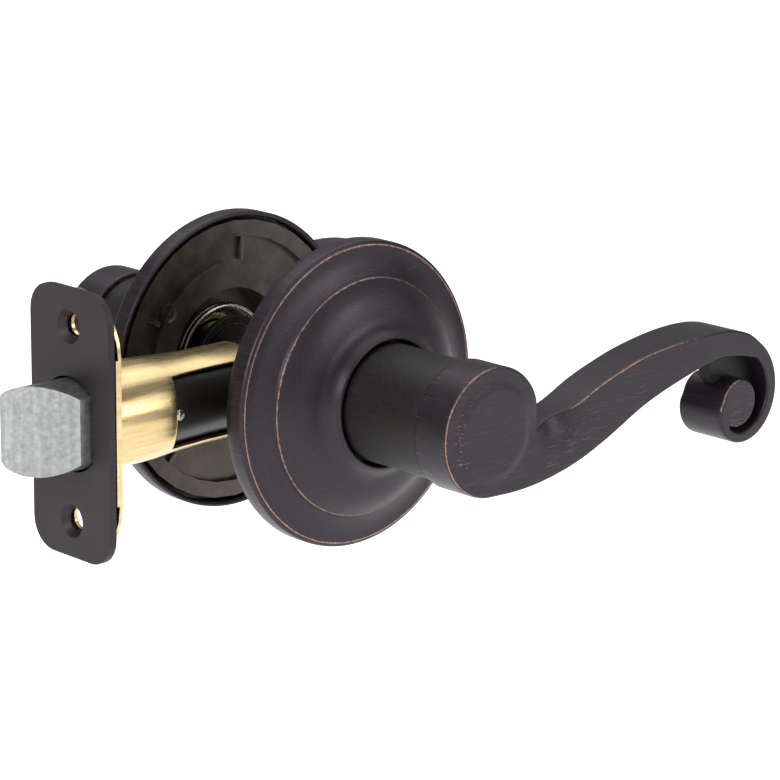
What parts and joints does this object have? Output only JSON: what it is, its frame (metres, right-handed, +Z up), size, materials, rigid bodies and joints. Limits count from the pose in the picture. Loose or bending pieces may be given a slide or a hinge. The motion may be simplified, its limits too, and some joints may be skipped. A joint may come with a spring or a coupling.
{
  "type": "lever handle lockset",
  "caption": "Passage lever lockset for a bored door: scroll levers on round roses, joined by a spindle that draws back a tubular spring latch.",
  "frame": {"origin": "on the spindle axis, half way through the door, where the door's cross bore is centred", "axes": "+X from the door's edge to the spindle and on along the levers, +Y through the door from the outside to the inside, +Z up"},
  "size_m": [0.161, 0.128, 0.0666],
  "materials": {
    "bronze": "oil-rubbed bronze, satin, worn to copper along its edges",
    "dark_bronze": "dark bronze, matt",
    "brass": "yellow zinc plated, bright",
    "black_steel": "stamped steel, dark olive plating",
    "spring_steel": "drawn wire and machine screws, bright",
    "zinc": "die-cast bolt, grey, satin",
    "black_nylon": "moulded black nylon, low gloss"
  },
  "bodies": {
    "lock": {"outside_rose": "bronze", "inside_rose": "bronze", "outside_mounting_plate": "black_steel", "inside_mounting_plate": "black_steel", "outside_bushing": "brass", "inside_bushing": "brass", "outside_return_spring": "spring_steel", "inside_return_spring": "spring_steel", "front_threaded_post": "black_steel", "rear_threaded_post": "black_steel", "front_mounting_screw": "spring_steel", "rear_mounting_screw": "spring_steel", "faceplate": "bronze", "inner_plate": "brass", "latch_tube": "brass", "latch_core": "black_nylon", "bolt_spring": "spring_steel"},
    "levers": {"outside_lever": "bronze", "inside_lever": "bronze", "outside_lever_neck": "dark_bronze", "inside_lever_neck": "dark_bronze", "outside_drive_tube": "black_steel", "inside_drive_tube": "black_steel", "outside_spring_driver": "black_steel", "inside_spring_driver": "black_steel", "outside_retaining_ring": "black_steel", "inside_retaining_ring": "black_steel", "outside_set_screw": "spring_steel", "inside_set_screw": "spring_steel", "spindle": "black_steel", "latch_cam": "black_steel"},
    "bolt": {"latch_bolt": "zinc", "bolt_tail": "black_steel"}
  },
  "joints": [
    {"name": "lever_turn", "type": "hinge", "parent": "lock", "child": "levers", "pos_m": [0, 0, 0], "axis": [0, 1, 0], "range_deg": [0, 45], "stiffness_Nm_per_rad": 0.8, "springref_deg": -34.38, "deforming": ["outside_return_spring", "inside_return_spring"]},
    {"name": "bolt_slide", "type": "slide", "parent": "lock", "child": "bolt", "axis": [1, 0, 0], "range_m": [0, 0.0122], "stiffness_N_per_m": 150, "springref_m": -0.03, "deforming": ["bolt_spring"]}
  ],
  "couplings": [
    {"joint": "bolt_slide", "follows": "lever_turn", "m_per_rad": 0.015533}
  ]
}
